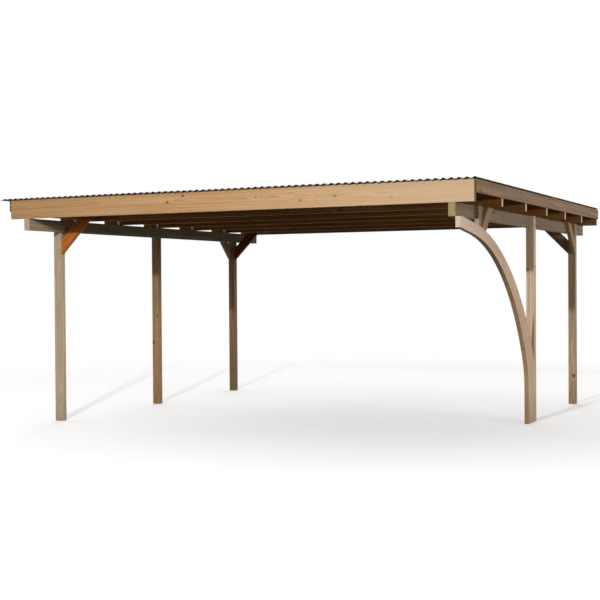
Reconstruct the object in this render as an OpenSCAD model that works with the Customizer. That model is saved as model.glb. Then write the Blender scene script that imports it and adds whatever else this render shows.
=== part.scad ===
// Double carport with a flat corrugated roof, in millimetres.
// Two side beams on posts carry seven cross timbers, and the roof sheets lie on
// those. The front right corner has no post of its own: a curved arch rises from
// the foot of the middle right post to the front end of the beam. The arch stands
// in one layer with the posts' tongues, on the outside of the beam.
// +Z is up and +Y runs from front to back. The origin is on the ground, under
// the middle of the roof.

/* [Roof sheets] */
// Distance from crest to crest of the corrugation
wave_pitch = 76; // [60:1:92]
// Height of the corrugation, without the sheet's own thickness
wave_rise = 18; // [12:1:24]
// Upright thickness of a sheet
sheet_t = 1.4; // [1:0.1:3]
// Waves that each sheet adds to the roof
cover_waves = 14; // [12:1:16]
// Waves that a sheet lies over its neighbour
lap_waves = 3; // [1:1:3]
// How far the sheets reach past the left end of the cross timbers
over_left = 123; // [30:1:160]
// How far the sheets reach past the right end of the cross timbers
over_right = 31; // [30:1:120]
// How far the sheets reach past the front and back timbers
over_front = 30; // [0:1:80]

/* [Cross timbers] */
// Distance from one cross timber to the next, front to back
rafter_pitch = 882; // [740:1:1060]
// Thickness of the cross timbers
rafter_t = 45; // [35:1:70]
// Height of the cross timbers
rafter_h = 208; // [160:1:250]

/* [Side boards] */
// Thickness of the boards on the ends of the cross timbers
side_board_t = 18; // [14:1:30]
// Height of those boards
side_board_h = 125; // [100:1:150]

/* [Beams] */
// Height of the beams' upper faces above the ground
beam_top = 2320; // [1900:1:2800]
// Width of the beams
beam_w = 70; // [58:1:84]
// Height of the beams
beam_h = 130; // [100:1:170]
// Distance from the ends of the cross timbers in to the beams' outer faces
beam_inset = 185; // [120:1:300]

/* [Posts] */
// Side of a square post
post_w = 90; // [80:1:110]
// Thickness of a post's tongue, the part that stands on the beam's outer face
tongue_t = 45; // [38:1:52]
// Distance from one post to the next, front to back
post_pitch = 2045; // [1700:1:2460]

/* [Knee braces] */
// Thickness of the braces
brace_t = 45; // [35:1:54]
// Width of the braces
brace_w = 120; // [80:1:140]
// Distance that a brace reaches along the timber that it holds
brace_reach = 390; // [320:1:480]
// Thickness of the blocks between cross timbers that the cross braces bear on
block_t = 45; // [35:1:70]

/* [Arch] */
// Thickness of the arch
arch_t = 50; // [40:1:60]
// Depth of the arch's free end, below the beam's lower face
arch_tip_d = 103; // [80:1:125]
// Slope angle of the straight length at the free end
arch_tip_slope = 7; // [5:0.5:9]
// Distance from the beam's front end back to the centres of the wide curves
arch_crown_y = 100; // [60:1:140]
// Distance from the beam's lower face down to the top of the outer curve
arch_out_drop = 26; // [20:1:32]
// Height at which the outer curve meets the post
arch_merge_z = 670; // [540:1:800]
// Radius of the tighter inner curve, above the foot
arch_foot_r = 800; // [640:1:960]
// Angle of the inner radius at which the tighter curve hands over to the wide one
arch_turn = 28; // [22:1:34]
// Depth of the arch at its foot, in front of the post
arch_foot_d = 256; // [205:1:307]

/* [Brackets] */
// Length of each leg of the angle brackets
bracket_leg = 50; // [35:1:60]
// Width of the angle brackets
bracket_w = 40; // [25:1:45]
// Thickness of the bracket steel
bracket_t = 2; // [1.5:0.5:3]

/* [Hidden] */

// Clearance that keeps curved faces and laid sheets from meeting
seat_gap = 0.3;
// A cutting shape runs this far past the arch's free end
cut_past = 10;
// Straight steps in each wave of a sheet
wave_steps = 8;
// Waves from a crest to the left edge of every sheet
edge_waves = 0.25;
// Sides that circles are drawn with
arc_steps = 360;
sheet_count = 5;
last_rafter = 6;
LEFT = -1;
RIGHT = 1;
FRONT_ROW = -1;
MIDDLE_ROW = 0;
BACK_ROW = 1;

// Roof plan
roof_w = (sheet_count * cover_waves + lap_waves) * wave_pitch;
frame_depth = last_rafter * rafter_pitch + rafter_t;
frame_front = -frame_depth / 2;
frame_back = frame_depth / 2;
frame_left = -roof_w / 2 + over_left;
frame_right = roof_w / 2 - over_right;

// Heights
beam_under = beam_top - beam_h;
rafter_top = beam_top + rafter_h;

// Where the beams and posts stand
function beam_outer(side) = side == LEFT ? frame_left + beam_inset : frame_right - beam_inset;
function post_inner(side) = beam_outer(side) - side * (post_w - tongue_t);
function post_front(row) = row * post_pitch - post_w / 2;
function post_depth(row) = [post_front(row), post_front(row) + post_w];

// Outline of the arch, measured back from the beam's front end
post_face = post_front(MIDDLE_ROW) - frame_front;
leg_face = post_face - arch_foot_d;
arch_in_r = (leg_face - arch_crown_y - arch_foot_r) / cos(arch_turn) + arch_foot_r;
arch_in_z = beam_under - arch_tip_d - arch_in_r / cos(arch_tip_slope)
    - arch_crown_y * tan(arch_tip_slope);
foot_curve_y = leg_face - arch_foot_r;
foot_curve_z = arch_in_z + (arch_in_r - arch_foot_r) * sin(arch_turn);
turn_z = arch_in_z + arch_in_r * sin(arch_turn);
merge_run = post_face - arch_crown_y;
merge_drop = beam_under - arch_out_drop - arch_merge_z;
arch_out_r = (merge_run ^ 2 + merge_drop ^ 2) / (2 * merge_drop);
arch_out_z = beam_under - arch_out_drop - arch_out_r;

// Colours
sawn_wood = [0.66, 0.52, 0.38];
honey_wood = [0.80, 0.62, 0.42];
pale_wood = [0.78, 0.68, 0.56];
dark_wood = [0.42, 0.30, 0.20];
orange_wood = [0.68, 0.42, 0.22];
zinc = [0.68, 0.70, 0.72];
sheet_grey = [0.22, 0.25, 0.27];

// A box between two opposite corners
module box(from, to) {
    translate(from) cube(to - from);
}

// A box that grows from the plane x = face, to the right for way = 1
module box_from(face, way, thick, y_range, z_range) {
    other = face + way * thick;
    box([min(face, other), y_range[0], z_range[0]], [max(face, other), y_range[1], z_range[1]]);
}

// Extrudes an outline drawn in the (y, z) plane, from the plane x = face
module side_plate(face, way, thick) {
    translate([way > 0 ? face : face - thick, 0, 0])
        rotate([90, 0, 90])
        linear_extrude(thick) children();
}

// A post: its shoulder carries the beam, its tongue stands on the beam's outer face
module post(side, row, shade) {
    color(shade) {
        box_from(post_inner(side), side, post_w, post_depth(row), [0, beam_under]);
        box_from(beam_outer(side), side, tongue_t, post_depth(row), [0, beam_top]);
    }
}

// A wide curve of the arch, filled in down to its centre and below. Towards the free
// end it runs on straight, along its tangent. Measured back from the beam's front end.
module wide_curve(centre_z, radius) {
    straight_z = centre_z + radius / cos(arch_tip_slope);
    translate([arch_crown_y, centre_z]) circle(radius, $fn = arc_steps);
    polygon([
        [arch_crown_y, centre_z],
        [-cut_past, centre_z],
        [-cut_past, straight_z + (arch_crown_y + cut_past) * tan(arch_tip_slope)],
        [arch_crown_y + radius * sin(arch_tip_slope), centre_z + radius * cos(arch_tip_slope)]
    ]);
}

// Everything under the arch's outer edge, widened by a clearance
module under_arch(clearance) {
    side_plate(post_inner(RIGHT), 1, 2 * post_w)
        translate([frame_front, 0])
        wide_curve(arch_out_z, arch_out_r + clearance);
}

// All that is left of a front right post: a short tongue that stands on the arch
module stub_post() {
    color(sawn_wood) difference() {
        box_from(beam_outer(RIGHT), RIGHT, tongue_t, post_depth(FRONT_ROW), [turn_z, beam_top]);
        under_arch(seat_gap);
    }
}

// Space that the arch spans, as an outline from the beam's front end
module arch_void() {
    far = -2 * arch_in_r;
    intersection() {
        wide_curve(arch_in_z, arch_in_r);
        translate([far, turn_z]) square([2 * -far, arch_in_r]);
    }
    translate([foot_curve_y, foot_curve_z]) circle(arch_foot_r, $fn = arc_steps);
    translate([far, far]) square([foot_curve_y - far, turn_z - far]);
    translate([far, far]) square([leg_face - far, foot_curve_z - far]);
}

// Solid outline of the arch, from the beam's front end
module arch_outline() {
    difference() {
        intersection() {
            square([post_face, beam_under]);
            wide_curve(arch_out_z, arch_out_r);
        }
        arch_void();
    }
}

module entry_arch() {
    color(pale_wood)
        side_plate(beam_outer(RIGHT), RIGHT, arch_t)
        translate([frame_front, 0]) arch_outline();
}

module beam(side) {
    color(sawn_wood)
        box_from(beam_outer(side), -side, beam_w, [frame_front, frame_back], [beam_under, beam_top]);
}

// Cross timber number i, counted from the front
module cross_timber(i, shade) {
    y0 = frame_front + i * rafter_pitch;
    color(shade) box([frame_left, y0, beam_top], [frame_right, y0 + rafter_t, rafter_top]);
}

module side_board(side) {
    face = side == LEFT ? frame_left : frame_right;
    color(sawn_wood)
        box_from(face, side, side_board_t, [frame_front, frame_back],
            [rafter_top - side_board_h, rafter_top]);
}

// Brace at 45 degrees: it leaves an upright face at x = 0 and rises towards +x
module brace_outline() {
    cut = brace_w * sqrt(2);
    polygon([
        [0, beam_top - brace_reach],
        [brace_reach, beam_top],
        [brace_reach - cut, beam_top],
        [0, beam_top - brace_reach + cut]
    ]);
}

// Brace from a post's inner face up to the block over it
module brace_across(side, row, shade) {
    color(shade)
        translate([post_inner(side), row * post_pitch + brace_t / 2, 0])
        mirror([side == LEFT ? 0 : 1, 0, 0])
        rotate([90, 0, 0])
        linear_extrude(brace_t) brace_outline();
}

// Brace along the beam's outer face, from a post towards the middle of the carport
module brace_along_blank(side, row) {
    face = row * (post_pitch - post_w / 2);
    side_plate(beam_outer(side), side, brace_t)
        translate([face, 0])
        mirror([row == FRONT_ROW ? 0 : 1, 0, 0])
        brace_outline();
}

module brace_along(side, row) {
    color(sawn_wood) brace_along_blank(side, row);
}

// The stub's brace is cut off where it meets the arch
module brace_stub_along() {
    color(sawn_wood) difference() {
        brace_along_blank(RIGHT, FRONT_ROW);
        under_arch(seat_gap);
    }
}

// Number of the cross timber in front of a row of posts
function timber_before(row) = floor((row * post_pitch - brace_t / 2 - frame_front) / rafter_pitch);

// Block between two cross timbers, over the upper end of a cross brace
module brace_block(side, row) {
    bearing = brace_reach - brace_w / sqrt(2);
    x_mid = post_inner(side) - side * bearing;
    y_front = frame_front + timber_before(row) * rafter_pitch + rafter_t;
    y_back = y_front + rafter_pitch - rafter_t;
    color(dark_wood)
        box([x_mid - block_t / 2, y_front, beam_top], [x_mid + block_t / 2, y_back, rafter_top]);
}

// Angle bracket with its corner at the origin: legs along -y and +z, width along x
module bracket() {
    translate([-bracket_w / 2, 0, 0]) rotate([90, 0, 90]) linear_extrude(bracket_w)
        polygon([
            [0, 0], [-bracket_leg, 0], [-bracket_leg, bracket_t],
            [-bracket_t, bracket_t], [-bracket_t, bracket_leg], [0, bracket_leg]
        ]);
}

// Brackets between a beam and its cross timbers: behind the front one, before the others
module brackets(side) {
    x_mid = beam_outer(side) - side * beam_w / 2;
    color(zinc) {
        translate([x_mid, frame_front + rafter_t, beam_top]) mirror([0, 1, 0]) bracket();
        for (i = [1 : last_rafter])
            translate([x_mid, frame_front + i * rafter_pitch, beam_top]) bracket();
    }
}

// Height of the sheet's lower face above its troughs, at a count of waves from a crest
function wave_z(waves) = wave_rise / 2 * (1 + cos(360 * waves));

// Sheet number n, counted from the left. The even ones lie on top of their neighbours.
module roof_sheet(n) {
    first_wave = n * cover_waves + edge_waves;
    steps = (cover_waves + lap_waves) * wave_steps;
    lift = seat_gap + n % 2 * (sheet_t + seat_gap);
    waves = [for (k = [0 : steps]) first_wave + k / wave_steps];
    under = [for (w = waves) [(w - edge_waves) * wave_pitch, wave_z(w)]];
    over = [for (k = [steps : -1 : 0]) under[k] + [0, sheet_t]];
    color(sheet_grey)
        translate([-roof_w / 2, frame_back + over_front, rafter_top + lift])
        rotate([90, 0, 0])
        linear_extrude(frame_depth + 2 * over_front) polygon(concat(under, over));
}

post(LEFT, FRONT_ROW, pale_wood);  // post_left_front
post(LEFT, MIDDLE_ROW, sawn_wood);  // post_left_middle
post(LEFT, BACK_ROW, sawn_wood);  // post_left_back
post(RIGHT, MIDDLE_ROW, sawn_wood);  // post_right_middle
post(RIGHT, BACK_ROW, sawn_wood);  // post_right_back
stub_post();
entry_arch();
beam(LEFT);  // beam_left
beam(RIGHT);  // beam_right
cross_timber(0, honey_wood);  // front_fascia
cross_timber(1, dark_wood);  // rafter_1
cross_timber(2, dark_wood);  // rafter_2
cross_timber(3, dark_wood);  // rafter_3
cross_timber(4, dark_wood);  // rafter_4
cross_timber(5, dark_wood);  // rafter_5
cross_timber(last_rafter, dark_wood);  // back_fascia
side_board(LEFT);  // side_board_left
side_board(RIGHT);  // side_board_right
brace_across(LEFT, FRONT_ROW, orange_wood);  // brace_left_front_across
brace_across(LEFT, BACK_ROW, orange_wood);  // brace_left_back_across
brace_across(RIGHT, BACK_ROW, dark_wood);  // brace_right_back_across
brace_along(LEFT, FRONT_ROW);  // brace_left_front_along
brace_along(LEFT, BACK_ROW);  // brace_left_back_along
brace_along(RIGHT, BACK_ROW);  // brace_right_back_along
brace_stub_along();
brace_block(LEFT, FRONT_ROW);  // block_left_front
brace_block(LEFT, BACK_ROW);  // block_left_back
brace_block(RIGHT, BACK_ROW);  // block_right_back
brackets(LEFT);  // brackets_left
brackets(RIGHT);  // brackets_right
roof_sheet(0);  // roof_sheet_1
roof_sheet(1);  // roof_sheet_2
roof_sheet(2);  // roof_sheet_3
roof_sheet(3);  // roof_sheet_4
roof_sheet(4);  // roof_sheet_5
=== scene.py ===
"""Looks of the timber double carport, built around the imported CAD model. Metres, CAD frame."""
import math

import bmesh
import bpy
from mathutils import Matrix, Vector


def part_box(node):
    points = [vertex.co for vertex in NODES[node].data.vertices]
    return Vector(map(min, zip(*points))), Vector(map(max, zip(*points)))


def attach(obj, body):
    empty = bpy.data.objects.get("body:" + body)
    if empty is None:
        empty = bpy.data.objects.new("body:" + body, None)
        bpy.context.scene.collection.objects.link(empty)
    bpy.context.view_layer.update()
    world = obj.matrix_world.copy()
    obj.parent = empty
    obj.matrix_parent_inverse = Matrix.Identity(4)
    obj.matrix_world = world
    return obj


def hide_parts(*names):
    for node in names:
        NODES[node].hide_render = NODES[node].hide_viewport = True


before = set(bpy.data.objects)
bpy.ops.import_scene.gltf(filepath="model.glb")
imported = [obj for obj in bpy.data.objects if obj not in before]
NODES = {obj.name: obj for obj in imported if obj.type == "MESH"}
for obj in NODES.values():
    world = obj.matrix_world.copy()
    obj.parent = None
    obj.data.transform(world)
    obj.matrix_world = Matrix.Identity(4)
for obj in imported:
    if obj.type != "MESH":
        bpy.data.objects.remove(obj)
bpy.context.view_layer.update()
scene = bpy.context.scene
MM = 0.001
X, Y, Z = Vector((1, 0, 0)), Vector((0, 1, 0)), Vector((0, 0, 1))
WHITE = (1.0, 1.0, 1.0, 1.0)


def srgb(r, g, b):
    """A colour given as 0 to 255 screen values, as linear RGBA."""
    def lin(c):
        c /= 255
        return c / 12.92 if c <= 0.04045 else ((c + 0.055) / 1.055) ** 2.4
    return (lin(r), lin(g), lin(b), 1.0)


# ---------------------------------------------------------------- node tools
class Net:
    """Short calls for building a node tree."""

    def __init__(self, tree):
        self.tree = tree

    def node(self, kind, **props):
        made = self.tree.nodes.new(kind)
        for key, value in props.items():
            setattr(made, key, value)
        return made

    def put(self, socket, value):
        """Links a socket's output to another socket, or sets a plain value."""
        if isinstance(value, bpy.types.NodeSocket):
            self.tree.links.new(value, socket)
        elif value is not None:
            socket.default_value = value

    def coords(self, which="Object"):
        return self.node("ShaderNodeTexCoord").outputs[which]

    def math(self, operation, a, b=None, clamp=False):
        made = self.node("ShaderNodeMath", operation=operation, use_clamp=clamp)
        for socket, value in zip(made.inputs, (a, b)):
            self.put(socket, value)
        return made.outputs[0]

    def vec(self, operation, a, b=None, scale=None):
        made = self.node("ShaderNodeVectorMath", operation=operation)
        self.put(made.inputs[0], a)
        self.put(made.inputs[1], b)
        if scale is not None:
            self.put(made.inputs["Scale"], scale)
        return made.outputs["Value" if operation in ("DOT_PRODUCT", "LENGTH") else "Vector"]

    def noise(self, vector, stretch, detail=2.0, rough=0.5, out="Fac"):
        made = self.node("ShaderNodeTexNoise", noise_dimensions="3D")
        self.put(made.inputs["Vector"], self.vec("MULTIPLY", vector, stretch))
        made.inputs["Scale"].default_value = 1.0
        made.inputs["Detail"].default_value = detail
        made.inputs["Roughness"].default_value = rough
        return made.outputs[out]

    def swing(self, vector, stretch, detail, reach):
        """Noise about zero, reach wide in all."""
        centred = self.math("SUBTRACT", self.noise(vector, stretch, detail), 0.5)
        return self.math("MULTIPLY", centred, reach)

    def cells(self, vector, scale):
        made = self.node("ShaderNodeTexVoronoi", voronoi_dimensions="3D", feature="F1")
        self.put(made.inputs["Vector"], vector)
        made.inputs["Scale"].default_value = scale
        return made.outputs

    def ramp(self, value, lo, hi, to_lo=0.0, to_hi=1.0, kind="SMOOTHSTEP"):
        made = self.node("ShaderNodeMapRange", interpolation_type=kind, clamp=True)
        for socket, x in zip(made.inputs, (value, lo, hi, to_lo, to_hi)):
            self.put(socket, x)
        return made.outputs[0]

    def mix(self, factor, a, b, blend="MIX"):
        made = self.node("ShaderNodeMix", data_type="RGBA", blend_type=blend)
        for index, value in ((0, factor), (6, a), (7, b)):
            self.put(made.inputs[index], value)
        return made.outputs[2]

    def combine(self, x, y, z):
        made = self.node("ShaderNodeCombineXYZ")
        for socket, value in zip(made.inputs, (x, y, z)):
            self.put(socket, value)
        return made.outputs[0]

    def separate(self, vector):
        made = self.node("ShaderNodeSeparateXYZ")
        self.put(made.inputs[0], vector)
        return made.outputs

    def bump(self, bsdf, height, strength, distance):
        made = self.node("ShaderNodeBump")
        made.inputs["Strength"].default_value = strength
        made.inputs["Distance"].default_value = distance
        self.put(made.inputs["Height"], height)
        self.put(bsdf.inputs["Normal"], made.outputs[0])

    def seen(self):
        """1 for the rays by which the camera sees a thing: straight, mirrored or refracted."""
        path = self.node("ShaderNodeLightPath").outputs
        indirect = self.math("ADD", path["Is Glossy Ray"], path["Is Transmission Ray"])
        return self.math("ADD", path["Is Camera Ray"], indirect, clamp=True)


def new_material(name):
    """A material with a Principled shader: the material, its net and the shader."""
    mat = bpy.data.materials.new(name)
    mat.use_nodes = True
    return mat, Net(mat.node_tree), mat.node_tree.nodes["Principled BSDF"]


# ---------------------------------------------------------------- softwood
# how often a noise changes in a metre: along the grain, then the two ways across it
WANDER_SCALE = (0.55, 2.6, 2.6)
RAGGED_SCALE = (45, 45, 45)
JITTER_SCALE = (0.9, 24, 24)
STREAK_SCALE = (0.7, 42, 42)
FIBRE_SCALE = (9, 300, 300)
BLOTCH_SCALE = (0.9, 4.5, 4.5)
CHECK_SCALE = (0.8, 55, 55)
CHECKED_SCALE = (1.7, 9, 9)
# metres that the rings wander, jitter and bulge round a knot
WANDER_REACH = 0.07
JITTER_REACH = 0.007
BULGE_REACH = 0.013
RING_WIDTH = 5.5 * MM
BROAD_RINGS = 4.3           # year rings in a broad band of colour
# where in a ring or a band its dark part rises, and where it falls off
LATE_RISE, LATE_FALL = (0.35, 0.88), (0.9, 1.0)
BROAD_RISE, BROAD_FALL = (0.1, 0.8), (0.82, 1.0)
BROAD_SHARE = 0.55          # of the rings' contrast
# between which values of their noises these go from none to full
STREAK_LIMITS = (0.34, 0.66)
BLOTCH_LIMITS = (0.36, 0.66)
CHECKED_LIMITS = (0.55, 0.62)
CHECK_WIDTH = (0.004, 0.014)
FIBRE_LIMITS, FIBRE_SHADES = (0.3, 0.7), (0.9, 1.07)
HALO_SHARE = 0.55
CHECK_SHARE = 0.75
# how far each part stands out or sinks in, and what it adds to the roughness
FIBRE_HEIGHT, STREAK_HEIGHT, LATE_HEIGHT, CHECK_HEIGHT, HEART_HEIGHT = 0.35, 0.35, -0.25, -1.6, 0.3
WOOD_ROUGHNESS, STREAK_ROUGH, LATE_ROUGH, HEART_ROUGH = 0.66, 0.12, -0.08, -0.1
SEED_STEP = (7.31, 3.17, 5.71)
# knots: cells in a metre, how the cells stretch, and distances in a cell
KNOT_CELLS = 7.0
KNOT_STRETCH = (0.8, 1.0, 1.0)
KNOT_RAGGED = 0.05
KNOT_BULGE = 0.42
KNOT_HALO = (0.09, 0.2)
KNOT_HEART = (0.075, 0.11)


def timber_group():
    """Solid softwood: year rings about a pith, fibres, knots, checks and weathering.
    Grain runs along x of the vector that comes in, in metres."""
    tree = bpy.data.node_groups.new("softwood", "ShaderNodeTree")
    colours = ("Light", "Mid", "Dark", "Knot", "Weather")
    floats = ("Seed", "Weathering", "Ring", "Contrast", "Knots", "Checks")
    for names, kind in ((("Place", "Pith"), "Vector"), (colours, "Color"), (floats, "Float")):
        for name in names:
            tree.interface.new_socket(name=name, in_out="INPUT", socket_type="NodeSocket" + kind)
    for name, kind in (("Color", "Color"), ("Roughness", "Float"), ("Height", "Float")):
        tree.interface.new_socket(name=name, in_out="OUTPUT", socket_type="NodeSocket" + kind)
    n = Net(tree)
    given = n.node("NodeGroupInput").outputs
    place, contrast = given["Place"], given["Contrast"]
    shifted = n.vec("ADD", place, n.combine(*[n.math("MULTIPLY", given["Seed"], step)
                                              for step in SEED_STEP]))
    # slow wander of the rings along the timber
    wander = n.noise(shifted, WANDER_SCALE, out="Color")
    wander = n.vec("SUBTRACT", wander, (0.5, 0.5, 0.5))
    wander = n.vec("MULTIPLY", wander, (0.0, WANDER_REACH, WANDER_REACH))
    # knots: a few cells in space, only some of them used
    cells = n.cells(n.vec("MULTIPLY", shifted, KNOT_STRETCH), KNOT_CELLS)
    used = n.math("LESS_THAN", n.separate(cells["Color"])[0], given["Knots"])
    ragged = n.swing(shifted, RAGGED_SCALE, 2, KNOT_RAGGED)
    knot_d = n.math("ADD", n.math("ADD", cells["Distance"], ragged),
                    n.math("SUBTRACT", 1.0, used))
    bulge = n.ramp(knot_d, 0.0, KNOT_BULGE, 1.0, 0.0)
    # year rings
    across = n.vec("SUBTRACT", n.vec("ADD", place, wander), given["Pith"])
    radius = n.vec("LENGTH", n.vec("MULTIPLY", across, (0.0, 1.0, 1.0)))
    radius = n.math("ADD", n.math("ADD", radius, n.swing(shifted, JITTER_SCALE, 2, JITTER_REACH)),
                    n.math("MULTIPLY", bulge, BULGE_REACH))
    phase = n.math("FRACT", n.math("DIVIDE", radius, given["Ring"]))
    late = n.math("MULTIPLY", n.ramp(phase, *LATE_RISE), n.ramp(phase, *LATE_FALL, 1.0, 0.0))
    broad = n.math("DIVIDE", radius, n.math("MULTIPLY", given["Ring"], BROAD_RINGS))
    broad = n.math("FRACT", broad)
    broad = n.math("MULTIPLY", n.ramp(broad, *BROAD_RISE), n.ramp(broad, *BROAD_FALL, 1.0, 0.0))
    # streaks and fibres along the grain, blotches of weathering
    streak = n.ramp(n.noise(shifted, STREAK_SCALE, 3, 0.6), *STREAK_LIMITS)
    fibre = n.noise(shifted, FIBRE_SCALE)
    blotch = n.ramp(n.noise(shifted, BLOTCH_SCALE, 3), *BLOTCH_LIMITS)
    colour = n.mix(streak, given["Light"], given["Mid"])
    colour = n.mix(n.math("MULTIPLY", broad, n.math("MULTIPLY", contrast, BROAD_SHARE)),
                   colour, given["Dark"])
    colour = n.mix(n.math("MULTIPLY", late, contrast), colour, given["Dark"])
    colour = n.mix(n.math("MULTIPLY", blotch, given["Weathering"]), colour, given["Weather"])
    colour = n.mix(n.ramp(knot_d, *KNOT_HALO, HALO_SHARE, 0.0), colour, given["Dark"])
    heart = n.ramp(knot_d, *KNOT_HEART, 1.0, 0.0)
    colour = n.mix(heart, colour, given["Knot"])
    # drying checks: thin dark lines along the fibres
    thin = n.math("ABSOLUTE", n.math("SUBTRACT", n.noise(shifted, CHECK_SCALE), 0.5))
    where = n.ramp(n.noise(shifted, CHECKED_SCALE, 1), *CHECKED_LIMITS)
    check = n.math("MULTIPLY", n.ramp(thin, *CHECK_WIDTH, 1.0, 0.0),
                   n.math("MULTIPLY", where, given["Checks"]))
    colour = n.mix(n.math("MULTIPLY", check, CHECK_SHARE), colour, given["Knot"])
    shade = n.ramp(fibre, *FIBRE_LIMITS, *FIBRE_SHADES, "LINEAR")
    colour = n.vec("SCALE", colour, scale=shade)
    height = n.math("MULTIPLY", fibre, FIBRE_HEIGHT)
    for part, share in ((streak, STREAK_HEIGHT), (late, LATE_HEIGHT), (check, CHECK_HEIGHT),
                        (heart, HEART_HEIGHT)):
        height = n.math("ADD", height, n.math("MULTIPLY", part, share))
    rough = n.math("ADD", n.math("MULTIPLY", streak, STREAK_ROUGH),
                   n.math("MULTIPLY", late, LATE_ROUGH))
    rough = n.math("ADD", rough, n.math("ADD", n.math("MULTIPLY", heart, HEART_ROUGH),
                                        WOOD_ROUGHNESS))
    out = n.node("NodeGroupOutput").inputs
    for name, value in (("Color", colour), ("Roughness", rough), ("Height", height)):
        n.put(out[name], value)
    return tree


SOFTWOOD = timber_group()

# light, mid, dark, knot, weathered, as screen values
PALETTES = {
    "honey": ((203, 168, 125), (184, 144, 99), (150, 106, 64), (106, 63, 33), (175, 140, 104)),
    "arch": ((216, 190, 163), (200, 172, 144), (168, 136, 106), (126, 90, 62), (190, 168, 144)),
    "front_post": ((190, 172, 146), (168, 149, 122), (134, 116, 90), (92, 66, 44),
                   (150, 145, 120)),
    "post_left_middle": ((176, 137, 98), (152, 114, 77), (110, 78, 48), (74, 45, 26),
                         (136, 118, 94)),
    "post_left_back": ((146, 117, 86), (122, 94, 64), (88, 63, 40), (64, 40, 24),
                       (114, 100, 80)),
    "post_right_middle": ((220, 193, 164), (200, 171, 142), (160, 127, 98), (106, 72, 48),
                          (178, 156, 132)),
    "post_right_back": ((184, 158, 126), (164, 135, 104), (124, 96, 70), (86, 57, 36),
                        (144, 126, 102)),
    "stub": ((150, 122, 92), (132, 104, 76), (100, 74, 50), (72, 48, 30), (122, 106, 84)),
    "beam_left": ((154, 138, 110), (130, 112, 84), (94, 76, 52), (66, 46, 30), (140, 134, 110)),
    "beam_right": ((146, 124, 102), (124, 101, 80), (92, 70, 52), (66, 42, 28), (134, 120, 102)),
    "board": ((158, 126, 95), (136, 105, 76), (102, 75, 51), (72, 47, 30), (126, 108, 87)),
    "rafter": ((164, 110, 50), (132, 82, 32), (90, 53, 19), (50, 28, 12), (126, 90, 44)),
    "orange": ((208, 124, 46), (184, 94, 28), (134, 61, 18), (80, 37, 14), (164, 102, 42)),
    "red": ((112, 52, 22), (86, 36, 14), (54, 22, 9), (30, 12, 6), (82, 42, 20)),
    "brace": ((168, 138, 104), (144, 113, 82), (108, 79, 54), (68, 46, 31), (132, 117, 96)),
}
# colours that some timbers turn to at their sawn ends, along their length or near the ground;
# the fascia's two colours and the stub's pale one are painted light and shade instead
CREAM_END = srgb(226, 202, 174)
YELLOW_END = srgb(152, 134, 86)
PINK_END = srgb(180, 154, 130)
BROWN_END = srgb(92, 64, 40)
# painted light and painted shade: a fall-off of the light along the fascia
FASCIA_PAINTED_LIGHT = srgb(194, 167, 136)
FASCIA_PAINTED_SHADE = srgb(140, 102, 58)
# painted light: the stub's front face, lit below the beam's underside
STUB_PAINTED_LIGHT = srgb(255, 240, 218)
PALE_ARCH = srgb(232, 208, 184)
DIM_ARCH = srgb(176, 150, 122)
DAMP = srgb(96, 84, 60)
# tints of the arch, by which its colour is multiplied; the two hollow tints are painted shade
HOLLOW_SHADE_LOW = (0.62, 0.51, 0.38, 1.0)
HOLLOW_SHADE_HIGH = (0.42, 0.33, 0.22, 1.0)
FREE_END = (0.78, 0.77, 0.77, 1.0)

LAMINATION = 33 * MM
GLUE_LINE = (0.02, 0.06)    # half widths of a line's core and edge, in laminations
GLUE_SHARE, GLUE_HEIGHT = 0.4, -0.5
LAYER_TONES = (0.93, 1.04)
HOLLOW_FACING = (-0.6, -0.85)
HOLLOW_HEIGHTS = (1.45, 1.85)
FREE_END_FACING = (-0.7, -0.9)
FREE_END_HEIGHTS = (1.6, 1.9)
END_SKIN = 4 * MM           # depth of a sawn end's colour
END_SHARE = 0.8
FADE_WANDER = 0.3           # how unevenly a colour fades, as a share of the fade's length
FADE_SCALE = (1.5, 7, 7)
FADE_FACING = (0.7, 0.9)
DAMP_HEIGHTS = (0.02, 0.4)
DAMP_SCALE, DAMP_WANDER = (9, 9, 5), 0.25
WOOD_SPECULAR = 0.12
WOOD_BUMP = (0.5, 1.5 * MM)


class Bend:
    """Coordinates in a timber that is bent round a circle at (y, z), r metres in radius."""

    def __init__(self, n, at, x, y, z, r):
        at_x, at_y, self.up = n.separate(at)
        self.dy = n.math("SUBTRACT", at_y, y)
        self.dz = n.math("SUBTRACT", self.up, z)
        self.far = n.math("SQRT", n.math("ADD", n.math("MULTIPLY", self.dy, self.dy),
                                         n.math("MULTIPLY", self.dz, self.dz)))
        angle = n.math("ARCTAN2", self.dz, self.dy)
        self.place = n.combine(n.math("MULTIPLY", angle, r), n.math("SUBTRACT", self.far, r),
                               n.math("SUBTRACT", at_x, x))


def laminate(n, bend, colour, height, dark):
    """Bands of tone, one lamination wide, and the glue lines."""
    layer = n.math("DIVIDE", n.separate(bend.place)[1], LAMINATION)
    line = n.math("ABSOLUTE", n.math("SUBTRACT", n.math("FRACT", layer), 0.5))
    line = n.ramp(line, *GLUE_LINE, 1.0, 0.0)
    # a different number from 0 to 1 for each layer
    tone = n.math("SINE", n.math("MULTIPLY", n.math("FLOOR", layer), 12.99))
    tone = n.math("FRACT", n.math("MULTIPLY", tone, 43.7))
    colour = n.vec("SCALE", colour, scale=n.ramp(tone, 0.0, 1.0, *LAYER_TONES, "LINEAR"))
    colour = n.mix(n.math("MULTIPLY", line, GLUE_SHARE), colour, dark)
    return colour, n.math("ADD", height, n.math("MULTIPLY", line, GLUE_HEIGHT))


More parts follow.
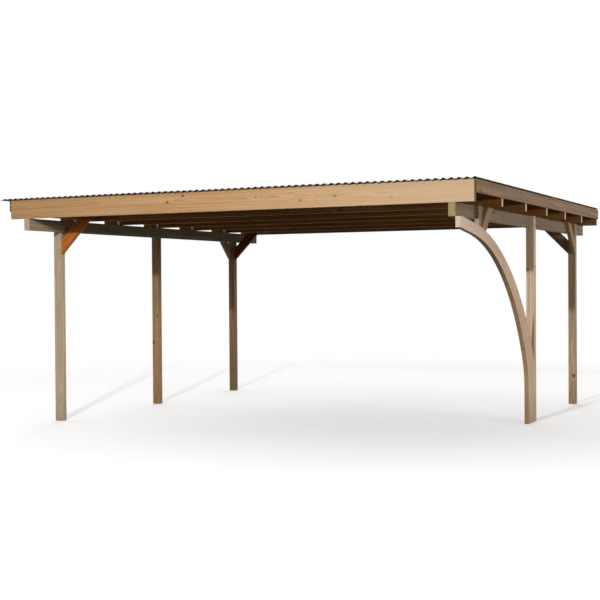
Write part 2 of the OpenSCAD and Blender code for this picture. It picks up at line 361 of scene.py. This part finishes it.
def paint_hollow_shade_and_dim_end(n, bend, colour, normal):
    """Paints brown shade on the hollow side, most of all where it faces down, and dims the sawn
    free end.
    """
    _, ny, nz = n.separate(normal)
    outward = n.math("ADD", n.math("MULTIPLY", ny, bend.dy), n.math("MULTIPLY", nz, bend.dz))
    hollow = n.ramp(n.math("DIVIDE", outward, bend.far), *HOLLOW_FACING)
    # painted shade: the hollow side darkens more higher up, where it faces down
    hollow_shade = n.mix(n.ramp(bend.up, *HOLLOW_HEIGHTS), HOLLOW_SHADE_LOW, HOLLOW_SHADE_HIGH)
    colour = n.mix(hollow, colour, hollow_shade, "MULTIPLY")
    sawn = n.math("MULTIPLY", n.ramp(ny, *FREE_END_FACING), n.ramp(bend.up, *FREE_END_HEIGHTS))
    return n.mix(sawn, colour, FREE_END, "MULTIPLY")


def timber(name, palette, along, across, centre, pith, seed, weathering, contrast, knots,
           checks=0.6, splash=0.0, half_length=0.0, end=None, fades=(), bent=None):
    """A timber's material. along and across are the directions of its grain and its width;
    pith is where the rings' middle lies, off the timber's own middle. bent = (y, z, r) bends
    the grain round a circle instead. end is the colour of the sawn ends. Each of fades is
    (colour, place along the grain where it starts, where it is full, how much, direction
    that a face has to look in or None)."""
    mat, n, bsdf = new_material(name)
    at = n.coords()
    normal = n.coords("Normal")
    if bent:
        bend = Bend(n, at, centre.x, *bent)
        place = bend.place
    else:
        local = n.vec("SUBTRACT", at, tuple(centre))
        ways = (along, across, along.cross(across))
        place = n.combine(*[n.vec("DOT_PRODUCT", local, tuple(way)) for way in ways])
    length_place = n.separate(place)[0]
    light, mid, dark, knot, weather = (srgb(*rgb) for rgb in PALETTES[palette])
    group = n.node("ShaderNodeGroup", node_tree=SOFTWOOD)
    for key, value in (("Place", place), ("Pith", (0.0, *pith)), ("Seed", float(seed)),
                       ("Light", light), ("Mid", mid), ("Dark", dark), ("Knot", knot),
                       ("Weather", weather), ("Weathering", weathering), ("Ring", RING_WIDTH),
                       ("Contrast", contrast), ("Knots", knots), ("Checks", checks)):
        n.put(group.inputs[key], value)
    colour, height = group.outputs["Color"], group.outputs["Height"]
    if bent:
        colour, height = laminate(n, bend, colour, height, dark)
    for tone, start, full, amount, way in fades:
        uneven = n.swing(place, FADE_SCALE, 2, FADE_WANDER * abs(full - start))
        by = n.ramp(n.math("ADD", length_place, uneven), start, full, 0.0, amount, "LINEAR")
        if way:
            facing_it = n.ramp(n.vec("DOT_PRODUCT", normal, tuple(way)), *FADE_FACING)
            by = n.math("MULTIPLY", by, facing_it)
        colour = n.mix(by, colour, tone)
    if bent:
        colour = paint_hollow_shade_and_dim_end(n, bend, colour, normal)
    if end:
        sawn = n.math("GREATER_THAN", n.math("ABSOLUTE", length_place), half_length - END_SKIN)
        colour = n.mix(n.math("MULTIPLY", sawn, END_SHARE), colour, end)
    if splash:
        # damp and dirt near the ground
        edge = n.math("ADD", n.separate(at)[2], n.swing(at, DAMP_SCALE, 3, DAMP_WANDER))
        damp = n.math("MULTIPLY", n.ramp(edge, *DAMP_HEIGHTS, 1.0, 0.0), splash)
        colour = n.mix(damp, colour, DAMP)
    n.put(bsdf.inputs["Base Color"], colour)
    n.put(bsdf.inputs["Roughness"], group.outputs["Roughness"])
    bsdf.inputs["Specular IOR Level"].default_value = WOOD_SPECULAR
    n.bump(bsdf, height, *WOOD_BUMP)
    return mat


def dress(node, mat):
    """Gives a CAD node a material."""
    obj = NODES[node]
    for slot in obj.material_slots:
        slot.link = "OBJECT"
        slot.material = mat
    return obj


WELD_REACH = 0.02 * MM
FLAT_ANGLE = math.radians(0.1)
ARRIS_ANGLE = math.radians(32)


def ease(obj, width, flat=True):
    """Rounds a piece's arrises a little. flat joins the triangles of each flat face first."""
    weld = obj.modifiers.new("weld", "WELD")
    weld.merge_threshold = WELD_REACH
    if flat:
        plane = obj.modifiers.new("plane", "DECIMATE")
        plane.decimate_type = "DISSOLVE"
        plane.angle_limit = FLAT_ANGLE
    bevel = obj.modifiers.new("arris", "BEVEL")
    bevel.width = width
    bevel.segments = 2
    bevel.limit_method = "ANGLE"
    bevel.angle_limit = ARRIS_ANGLE
    bevel.use_clamp_overlap = True
    bevel.harden_normals = False
    for polygon in obj.data.polygons:
        polygon.use_smooth = True
    normals = obj.modifiers.new("normals", "WEIGHTED_NORMAL")
    normals.keep_sharp = True
    normals.weight = 100


UP_RIGHT = (X + Z).normalized()
UP_LEFT = (Z - X).normalized()
UP_BACK = (Y + Z).normalized()
UP_FRONT = (Z - Y).normalized()
TIMBER_ARRIS = 2.5 * MM

# node: palette, grain, width direction, pith, weathering, contrast, knots, splash, end colour
TIMBERS = {
    "front_fascia": ("honey", X, Z, (0.02, 0.07), 0.25, 0.65, 0.5, 0.0, BROWN_END),
    "back_fascia": ("board", X, Z, (-0.03, -0.06), 0.4, 0.55, 0.55, 0.0, BROWN_END),
    "rafter_1": ("rafter", X, Z, (0.01, 0.06), 0.3, 0.55, 0.5, 0.0, CREAM_END),
    "rafter_2": ("rafter", X, Z, (-0.02, -0.07), 0.3, 0.55, 0.5, 0.0, CREAM_END),
    "rafter_3": ("rafter", X, Z, (0.03, 0.05), 0.3, 0.55, 0.6, 0.0, CREAM_END),
    "rafter_4": ("rafter", X, Z, (-0.04, 0.08), 0.3, 0.55, 0.5, 0.0, CREAM_END),
    "rafter_5": ("rafter", X, Z, (0.0, -0.06), 0.3, 0.55, 0.4, 0.0, CREAM_END),
    "side_board_left": ("board", Y, Z, (0.02, 0.05), 0.5, 0.55, 0.5, 0.0, BROWN_END),
    "side_board_right": ("board", Y, Z, (-0.02, -0.06), 0.5, 0.55, 0.5, 0.0, BROWN_END),
    "beam_left": ("beam_left", Y, Z, (0.0, 0.03), 0.4, 0.55, 0.6, 0.0, PINK_END),
    "beam_right": ("beam_right", Y, Z, (0.02, -0.02), 0.5, 0.6, 0.6, 0.0, YELLOW_END),
    "post_left_front": ("front_post", Z, X, (0.02, 0.01), 0.5, 0.45, 0.5, 0.2, None),
    "post_left_middle": ("post_left_middle", Z, X, (-0.01, 0.02), 0.4, 0.5, 0.6, 0.2, None),
    "post_left_back": ("post_left_back", Z, X, (0.02, -0.015), 0.4, 0.5, 0.5, 0.2, None),
    "post_right_middle": ("post_right_middle", Z, X, (-0.02, -0.01), 0.4, 0.5, 0.5, 0.2, None),
    "post_right_back": ("post_right_back", Z, X, (0.01, 0.025), 0.4, 0.5, 0.6, 0.2, None),
    "stub_post": ("stub", Z, X, (0.01, 0.02), 0.3, 0.4, 0.3, 0.0, None),
    "brace_left_front_across": ("orange", UP_RIGHT, UP_LEFT, (0.01, 0.04), 0.3, 0.5, 0.3, 0.0,
                                None),
    "brace_left_back_across": ("red", UP_RIGHT, UP_LEFT, (0.02, -0.04), 0.3, 0.5, 0.4, 0.0,
                               None),
    "brace_right_back_across": ("brace", UP_LEFT, UP_RIGHT, (-0.01, 0.05), 0.3, 0.5, 0.4, 0.0,
                                None),
    "brace_left_front_along": ("beam_left", UP_BACK, UP_FRONT, (0.01, 0.04), 0.4, 0.5, 0.4, 0.0,
                               None),
    "brace_left_back_along": ("brace", UP_FRONT, UP_BACK, (0.0, -0.05), 0.4, 0.5, 0.4, 0.0,
                              None),
    "brace_right_back_along": ("brace", UP_FRONT, UP_BACK, (0.02, 0.05), 0.4, 0.5, 0.4, 0.0,
                               None),
    "brace_stub_along": ("brace", UP_BACK, UP_FRONT, (-0.01, 0.04), 0.4, 0.5, 0.4, 0.0, None),
    "block_left_front": ("rafter", Y, Z, (0.02, 0.06), 0.4, 0.5, 0.4, 0.0, None),
    "block_left_back": ("rafter", Y, Z, (-0.02, 0.06), 0.4, 0.5, 0.4, 0.0, None),
    "block_right_back": ("rafter", Y, Z, (0.0, -0.06), 0.4, 0.5, 0.4, 0.0, None),
}
# painted light and shade: the fascia is paler and pinker towards its right end and browner towards
# its left one, a painted fall-off of light; the stub's front face is painted pale below the beam
right_beam_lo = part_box("beam_right")[0]
stub_lo, stub_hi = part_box("stub_post")
stub_painted_light_top = right_beam_lo.z - (stub_lo.z + stub_hi.z) / 2
FADES = {"front_fascia": ((FASCIA_PAINTED_LIGHT, -0.2, 2.9, 0.75, None),
                          (FASCIA_PAINTED_SHADE, 0.2, -3.0, 0.42, None)),
         "stub_post": ((STUB_PAINTED_LIGHT, stub_painted_light_top + 0.01, stub_painted_light_top - 0.01, 1.0, -Y),)}
for seed, (node, row) in enumerate(TIMBERS.items(), 1):
    palette, grain, width_way, pith, weathering, contrast, knots, splash, end = row
    lo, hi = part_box(node)
    mat = timber("wood_" + node, palette, grain, width_way, (lo + hi) / 2, pith, seed,
                 weathering, contrast, knots, splash=splash,
                 half_length=abs((hi - lo).dot(grain)) / 2, end=end, fades=FADES.get(node, ()))
    ease(dress(node, mat), TIMBER_ARRIS)

# the arch: grain and laminations follow its wide curve, and it pales towards its free end
ARCH_RADIUS = 2.87
ARCH_CENTRE = (right_beam_lo.y + 0.1, -0.70)
ARCH_FADES = ((PALE_ARCH, ARCH_RADIUS * 1.2, ARCH_RADIUS * 1.6, 0.7, None),
              (DIM_ARCH, 1.9, 0.3, 0.35, None))
ARCH_SEED = 40
arch_lo, arch_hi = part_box("entry_arch")
arch_mat = timber("wood_entry_arch", "arch", Z, X, (arch_lo + arch_hi) / 2, (0.02, 0.05),
                  ARCH_SEED, weathering=0.35, contrast=0.4, knots=0.25, checks=0.3, splash=0.3,
                  fades=ARCH_FADES, bent=(*ARCH_CENTRE, ARCH_RADIUS))
ease(dress("entry_arch", arch_mat), TIMBER_ARRIS, flat=False)


# ---------------------------------------------------------------- steel and plastic
ZINC_BLOOM = srgb(128, 116, 100)
ZINC_CLOUD, ZINC_CLOUD_LIMITS = (30, 30, 30), (0.35, 0.7)
ZINC_DARK = 0.72            # of the steel's colour, in the darkest spangles
SPANGLE_SHARE, BLOOM_SHARE = 0.7, 0.3
ZINC_ROUGHNESS, SPANGLE_ROUGH, BLOOM_ROUGH = 0.42, 0.14, 0.2
ZINC_METALLIC, ZINC_SPECULAR = 0.35, 0.25
ZINC_BUMP = (0.25, 0.4 * MM)
SHEET_DARK = srgb(50, 58, 63)
SHEET_PALE = srgb(60, 69, 74)
SHEET_DUST = srgb(112, 112, 104)
TROUGH_HEIGHTS = (0.002, 0.014)
SHEET_STREAK, SHEET_STREAK_LIMITS = (60, 1.4, 60), (0.38, 0.66)
SHEET_CLOUD, SHEET_CLOUD_LIMITS = (2.2, 1.3, 2.2), (0.36, 0.66)
SHEET_SPECK, SHEET_SPECK_LIMITS = (260, 260, 260), (0.56, 0.7)
TROUGH_DUST, STREAK_DUST, CLOUD_DUST, SPECK_DUST = 0.55, 0.6, 0.4, 0.12
SHEET_ROUGHNESS, SHEET_STREAK_ROUGH, DUST_ROUGH = 0.56, 0.06, 0.35
SHEET_SPECULAR = 0.2
SHEET_BUMP = (0.2, 0.6 * MM)
BRACKET_ARRIS = 0.4 * MM


def zinc_material(name, tone, spangle):
    """Galvanised steel with spangle cells in a metre and clouds of white bloom."""
    mat, n, bsdf = new_material(name)
    at = n.coords()
    facet = n.separate(n.cells(at, spangle)["Color"])[0]
    cloud = n.ramp(n.noise(at, ZINC_CLOUD, 3), *ZINC_CLOUD_LIMITS)
    dark = tuple(c * ZINC_DARK for c in tone[:3]) + (1.0,)
    colour = n.mix(n.math("MULTIPLY", facet, SPANGLE_SHARE), tone, dark)
    colour = n.mix(n.math("MULTIPLY", cloud, BLOOM_SHARE), colour, ZINC_BLOOM)
    rough = n.math("ADD", n.math("MULTIPLY", facet, SPANGLE_ROUGH),
                   n.math("ADD", n.math("MULTIPLY", cloud, BLOOM_ROUGH), ZINC_ROUGHNESS))
    n.put(bsdf.inputs["Base Color"], colour)
    n.put(bsdf.inputs["Roughness"], rough)
    bsdf.inputs["Metallic"].default_value = ZINC_METALLIC
    bsdf.inputs["Specular IOR Level"].default_value = ZINC_SPECULAR
    n.bump(bsdf, n.math("ADD", facet, cloud), *ZINC_BUMP)
    return mat


def sheet_material(name):
    """Anthracite PVC, with dust that gathers in the troughs and streaks down them."""
    mat, n, bsdf = new_material(name)
    at = n.coords()
    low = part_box("roof_sheet_1")[0].z
    up = n.math("SUBTRACT", n.separate(at)[2], low)
    trough = n.ramp(up, *TROUGH_HEIGHTS, 1.0, 0.0)
    streak = n.ramp(n.noise(at, SHEET_STREAK, 3, 0.6), *SHEET_STREAK_LIMITS)
    cloud = n.ramp(n.noise(at, SHEET_CLOUD, 3), *SHEET_CLOUD_LIMITS)
    speck = n.ramp(n.noise(at, SHEET_SPECK), *SHEET_SPECK_LIMITS)
    dust = n.math("MULTIPLY", n.math("MULTIPLY", trough, TROUGH_DUST),
                  n.math("ADD", n.math("MULTIPLY", streak, STREAK_DUST),
                         n.math("MULTIPLY", cloud, CLOUD_DUST)))
    dust = n.math("ADD", dust, n.math("MULTIPLY", speck, SPECK_DUST), clamp=True)
    rough = n.math("ADD", n.math("MULTIPLY", dust, DUST_ROUGH),
                   n.math("ADD", n.math("MULTIPLY", streak, SHEET_STREAK_ROUGH), SHEET_ROUGHNESS))
    n.put(bsdf.inputs["Base Color"], n.mix(dust, n.mix(cloud, SHEET_DARK, SHEET_PALE), SHEET_DUST))
    n.put(bsdf.inputs["Roughness"], rough)
    bsdf.inputs["Specular IOR Level"].default_value = SHEET_SPECULAR
    n.bump(bsdf, n.math("ADD", n.math("MULTIPLY", streak, 0.5), speck), *SHEET_BUMP)
    return mat


# the right beam's brackets are much duller in the photo than the left one's
ZINC = zinc_material("galvanised_steel", (0.62, 0.58, 0.53, 1.0), 160.0)
# on the right beam's brackets this dark zinc is painted shade: the same galvanised steel as the
# left ones, darkened for the roof's shade; the screws and nails use it too
DARK_ZINC_AND_SHADE = zinc_material("dark_zinc_and_painted_shade", (0.15, 0.115, 0.085, 1.0), 260.0)
PLASTIC = sheet_material("sheet_plastic")
for node, steel in (("brackets_left", ZINC), ("brackets_right", DARK_ZINC_AND_SHADE)):
    ease(dress(node, steel), BRACKET_ARRIS)


# ---------------------------------------------------------------- shapes of small pieces
def add_piece(name, bm, mat, smooth=True):
    """Turns a bmesh into a piece of the carport."""
    bmesh.ops.recalc_face_normals(bm, faces=bm.faces)
    mesh = bpy.data.meshes.new(name)
    bm.to_mesh(mesh)
    bm.free()
    for polygon in mesh.polygons:
        polygon.use_smooth = smooth
    obj = bpy.data.objects.new(name, mesh)
    scene.collection.objects.link(obj)
    obj.data.materials.append(mat)
    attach(obj, "root")
    return obj


def lathe(bm, place, profile, sides):
    """Turns a profile of (radius, height) points round the z axis of place."""
    rings = []
    for radius, height in profile:
        if radius == 0:
            rings.append([bm.verts.new(place @ Vector((0, 0, height)))] * sides)
            continue
        turns = [math.tau * k / sides for k in range(sides)]
        rings.append([bm.verts.new(place @ Vector((radius * math.cos(a), radius * math.sin(a),
                                                   height))) for a in turns])
    for low, high in zip(rings, rings[1:]):
        for k in range(sides):
            j = (k + 1) % sides
            # a corner on the axis comes twice, and is used once
            corners = list(dict.fromkeys((low[k], low[j], high[j], high[k])))
            if len(corners) > 2:
                bm.faces.new(corners)


def facing(point, way):
    """A place at point whose z axis points along way."""
    return Matrix.Translation(point) @ way.to_track_quat("Z", "Y").to_matrix().to_4x4()


def hex_nut(bm, place, flats, low, high):
    """A hexagon with its upper edge chamfered, from low to high along place's z axis."""
    r = flats / 2 / math.cos(math.pi / 6)
    cut = 0.8 * MM
    lathe(bm, place, [(0, low), (r, low), (r, high - cut), (r - cut, high), (0, high)], 6)


def scaled(profile):
    return [(r * MM, h * MM) for r, h in profile]


# (radius, height) in mm above the face that the head sits on
POST_SCREW = scaled([(0, -1), (6.6, -1), (6.8, 0.4), (6.4, 1.0), (3.4, 1.2), (3.0, 1.1),
                     (2.6, -0.6), (0, -0.6)])
SCREW_HEAD = scaled([(0, -1.5), (4.8, -1.5), (5, 0.2), (4.7, 0.7), (3, 0.9), (2.4, 0.9),
                     (2.0, -0.9), (0, -0.9)])
NAIL_HEAD = scaled([(0, -0.5), (3.2, -0.5), (3.4, 0.5), (2.6, 1.2), (1, 1.6), (0, 1.7)])
ROOF_WASHER = scaled([(0, -0.5), (7.5, -0.5), (7.6, 0.9), (6.6, 1.9), (4.4, 2.4), (0, 2.4)])
POST_SCREW_SIDES, SCREW_SIDES, NAIL_SIDES = 20, 16, 12
ROOF_NUT_FLATS = 8 * MM
ROOF_NUT_HEIGHTS = (2.2 * MM, 7.0 * MM)
WASHER_GAP = 0.6 * MM

# ---------------------------------------------------------------- screws through the posts
POST_SCREW_SIDE = 0.022     # off the post's middle
POST_SCREW_EDGE = 0.03      # in from the beam's upper and lower edges
post_screws = bmesh.new()
for node in ("post_left_front", "post_left_middle", "post_left_back",
             "post_right_middle", "post_right_back", "stub_post"):
    side, out = ("left", -X) if "left" in node else ("right", X)
    beam_lo, beam_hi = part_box("beam_" + side)
    lo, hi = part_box(node)
    outer_x = lo.x if side == "left" else hi.x
    for z in (beam_hi.z - POST_SCREW_EDGE, beam_lo.z + POST_SCREW_EDGE):
        for dy in (-POST_SCREW_SIDE, POST_SCREW_SIDE):
            lathe(post_screws, facing(Vector((outer_x, (lo.y + hi.y) / 2 + dy, z)), out),
                  POST_SCREW, POST_SCREW_SIDES)
add_piece("post_screws", post_screws, DARK_ZINC_AND_SHADE)

# ---------------------------------------------------------------- screws in boards and braces
BOARD_SCREW_EDGE = 0.028
BRACE_SCREWS = ((0.075, 0.03), (0.15, 0.035), (0.13, 0.09))     # in from the top end, and down
screws = bmesh.new()
timber_ys = [sum((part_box(n)[0].y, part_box(n)[1].y)) / 2 for n in
             ["front_fascia"] + [f"rafter_{i}" for i in range(1, 6)] + ["back_fascia"]]
for side, out in (("left", -X), ("right", X)):
    lo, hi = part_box("side_board_" + side)
    face = lo.x if side == "left" else hi.x
    for y in timber_ys:
        for z in (lo.z + BOARD_SCREW_EDGE, hi.z - BOARD_SCREW_EDGE):
            lathe(screws, facing(Vector((face, y, z)), out), SCREW_HEAD, SCREW_SIDES)
for node, out in (("brace_left_front_along", -X), ("brace_left_back_along", -X),
                  ("brace_right_back_along", X), ("brace_stub_along", X)):
    lo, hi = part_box(node)
    face = lo.x if out.x < 0 else hi.x
    top_y, step = (lo.y, 1) if "back" in node else (hi.y, -1)
    for dy, dz in BRACE_SCREWS:
        point = Vector((face, top_y + step * dy, hi.z - dz))
        lathe(screws, facing(point, out), SCREW_HEAD, SCREW_SIDES)
add_piece("board_screws", screws, DARK_ZINC_AND_SHADE)

# ---------------------------------------------------------------- nails in the brackets
BRACKET_T = 2 * MM
HALF_TIMBER = 22.5 * MM
NAIL_PLACES = ((-0.011, 0.4), (0.011, 0.4), (0.0, 0.78))        # sideways, share of the leg
nails = bmesh.new()
for side in ("left", "right"):
    lo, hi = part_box("brackets_" + side)
    mid_x = (lo.x + hi.x) / 2
    leg = hi.z - lo.z
    for i, y in enumerate(timber_ys):
        # the fascia's bracket is behind it, all others are in front of their timbers
        way = 1 if i == 0 else -1
        face = y + way * HALF_TIMBER
        for dx, up in NAIL_PLACES:
            x = mid_x + dx
            upright = Vector((x, face + way * BRACKET_T, lo.z + leg * up))
            lathe(nails, facing(upright, way * Y), NAIL_HEAD, NAIL_SIDES)
            lying = Vector((x, face + way * leg * up, lo.z + BRACKET_T))
            lathe(nails, facing(lying, Z), NAIL_HEAD, NAIL_SIDES)
add_piece("bracket_nails", nails, DARK_ZINC_AND_SHADE)

# ---------------------------------------------------------------- roof sheets
SHEET_T = 1.4 * MM
WAVES_PER_SHEET = 17
EDGE_WAVES = 0.25           # where in a wave the sheet's left edge is
STEPS = 28                  # in a wave
SHARP_REACH = 1 * MM
sheet_tops = []
for i in range(1, 6):
    node = f"roof_sheet_{i}"
    lo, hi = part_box(node)
    pitch = (hi.x - lo.x) / WAVES_PER_SHEET
    rise = hi.z - lo.z - SHEET_T
    sheet_tops.append((lo.x, hi.x, lo.z + SHEET_T))
    bm = bmesh.new()
    rows = []
    for k in range(WAVES_PER_SHEET * STEPS + 1):
        x = lo.x + pitch * k / STEPS
        z = lo.z + rise / 2 * (1 + math.cos(math.tau * (k / STEPS + EDGE_WAVES)))
        rows.append([bm.verts.new((x, y, z + dz)) for y in (lo.y, hi.y) for dz in (0.0, SHEET_T)])
    for a, b in zip(rows, rows[1:]):
        for p, q in ((0, 2), (3, 1), (1, 0), (2, 3)):
            bm.faces.new((a[p], b[p], b[q], a[q]))
    for end in (rows[0], rows[-1]):
        bm.faces.new((end[0], end[1], end[3], end[2]))
    sheet = add_piece(f"sheet_{i}", bm, PLASTIC)
    for edge in sheet.data.edges:
        v = [sheet.data.vertices[j].co for j in edge.vertices]
        on_side = min(v[0].x - lo.x, hi.x - v[0].x) < SHARP_REACH
        edge.use_edge_sharp = abs(v[0].y - v[1].y) < SHARP_REACH or on_side
    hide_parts(node)

# screws with washers, in the troughs over every timber, closer over the two fascias
WAVES_AT_EDGE, WAVES_INSIDE = 2, 3      # from one screw to the next
roof_screws = bmesh.new()
roof_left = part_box("roof_sheet_1")[0].x
roof_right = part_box("roof_sheet_5")[1].x
wave = (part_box("roof_sheet_1")[1].x - roof_left) / WAVES_PER_SHEET
troughs = int((roof_right - roof_left) / wave)
for y in timber_ys:
    every = WAVES_AT_EDGE if y in (timber_ys[0], timber_ys[-1]) else WAVES_INSIDE
    for k in range(1, troughs, every):
        x = roof_left + (k + 0.5 - EDGE_WAVES) * wave
        top = max(t for x0, x1, t in sheet_tops if x0 < x < x1)
        place = facing(Vector((x, y, top + WASHER_GAP)), Z)
        lathe(roof_screws, place, ROOF_WASHER, SCREW_SIDES)
        hex_nut(roof_screws, place, ROOF_NUT_FLATS, *ROOF_NUT_HEIGHTS)
add_piece("sheet_screws", roof_screws, DARK_ZINC_AND_SHADE, smooth=False)

# ---------------------------------------------------------------- stage and world
FLOOR_R = 120.0
FLOOR_NEAR = (5.0, 11.0)    # the floor turns from lit to plain white between these distances
FLOOR_LIFT = 0.3            # share of plain white even close by
FLOOR_SIDES = 96
FLOOR_GRAIN = (3, 3, 3)
FLOOR_SHADES = (0.985, 1.0)
FLOOR_BOUNCE = (0.17, 0.165, 0.16, 1.0)
FLOOR_GLOW = (0.14, 0.14, 0.14, 1.0)
AMBIENT = 0.34
AMBIENT_COLOUR = (AMBIENT, AMBIENT * 0.95, AMBIENT * 0.9, 1.0)


def stage_material(name):
    """White to the camera, mid grey to the light that bounces, and the shadow stays."""
    mat, n, bsdf = new_material(name)
    n.tree.nodes.remove(bsdf)
    at = n.coords()
    seen = n.seen()
    grain = n.ramp(n.noise(at, FLOOR_GRAIN, 3), 0.3, 0.7, *FLOOR_SHADES)
    pale = n.vec("SCALE", (1.0, 1.0, 1.0), scale=grain)
    near = n.node("ShaderNodeBsdfDiffuse")
    n.put(near.inputs["Color"], n.mix(seen, FLOOR_BOUNCE, pale))
    far = n.node("ShaderNodeEmission")
    n.put(far.inputs["Color"], n.mix(seen, FLOOR_GLOW, WHITE))
    away = n.vec("LENGTH", n.vec("MULTIPLY", at, (1.0, 1.0, 0.0)))
    shade = n.node("ShaderNodeMixShader")
    plain = n.math("MAXIMUM", n.ramp(away, *FLOOR_NEAR), n.math("MULTIPLY", seen, FLOOR_LIFT))
    for socket, value in zip(shade.inputs, (plain, near.outputs[0], far.outputs[0])):
        n.put(socket, value)
    n.put(n.tree.nodes["Material Output"].inputs["Surface"], shade.outputs[0])
    return mat


floor_bm = bmesh.new()
bmesh.ops.create_circle(floor_bm, cap_ends=True, segments=FLOOR_SIDES, radius=FLOOR_R)
floor_mesh = bpy.data.meshes.new("floor")
floor_bm.to_mesh(floor_mesh)
floor_bm.free()
floor = bpy.data.objects.new("floor", floor_mesh)
floor.location.z = -MM
scene.collection.objects.link(floor)
floor.data.materials.append(stage_material("floor_pale"))

world = bpy.data.worlds.new("studio")
scene.world = world
world.use_nodes = True
wn = Net(world.node_tree)
background = world.node_tree.nodes["Background"]
wn.put(background.inputs["Color"], wn.mix(wn.seen(), AMBIENT_COLOUR, WHITE))
background.inputs["Strength"].default_value = 1.0


# ---------------------------------------------------------------- lamps
def sun(name, azimuth, elevation, strength, angle):
    """A lamp from one side: azimuth 0 shines from the front, 90 from the right."""
    lamp = bpy.data.lights.new(name, "SUN")
    lamp.energy = strength
    lamp.angle = math.radians(angle)
    obj = bpy.data.objects.new(name, lamp)
    a, e = math.radians(azimuth), math.radians(elevation)
    towards = Vector((math.sin(a) * math.cos(e), -math.cos(a) * math.cos(e), math.sin(e)))
    obj.rotation_euler = towards.to_track_quat("Z", "Y").to_euler()
    scene.collection.objects.link(obj)


# the key stands in front, high enough for the fascia's shadow to cross the posts, and its
# light falls off with the distance instead of with its square
KEY_AT = Vector((1.75, -11.0, 4.31))
KEY_ENERGY = 270
KEY_RADIUS = 0.12
key = bpy.data.lights.new("key", "POINT")
key.energy = KEY_ENERGY
key.shadow_soft_size = KEY_RADIUS
key.use_nodes = True
falloff = key.node_tree.nodes.new("ShaderNodeLightFalloff")
falloff.inputs["Strength"].default_value = 1.0
key_strength = key.node_tree.nodes["Emission"].inputs["Strength"]
key.node_tree.links.new(falloff.outputs["Linear"], key_strength)
key_object = bpy.data.objects.new("key", key)
key_object.location = KEY_AT
scene.collection.objects.link(key_object)
sun("side", 70, 4.7, 1.6, 8)
sun("back", 195, 24, 2.6, 60)
sun("left", -98, 30, 1.1, 60)

# ---------------------------------------------------------------- camera, fitted to the photo
CAMERA_AT = (5.97465, -12.89604, 1.57866)
YAW, PITCH_DOWN, ROLL = 0.45636, 0.01446, -0.00689
FOCAL_PX = 1155.8
PICTURE_PX = 600
cam = bpy.data.cameras.new("camera")
cam.sensor_width = 36.0
cam.lens = cam.sensor_width * FOCAL_PX / PICTURE_PX
cam.clip_end = 400
camera = bpy.data.objects.new("camera", cam)
camera.matrix_world = (Matrix.Translation(CAMERA_AT) @ Matrix.Rotation(YAW, 4, "Z")
                       @ Matrix.Rotation(math.pi / 2 - PITCH_DOWN, 4, "X")
                       @ Matrix.Rotation(ROLL, 4, "Z"))
scene.collection.objects.link(camera)
scene.camera = camera

scene.view_settings.view_transform = "Standard"

bpy.context.view_layer.update()
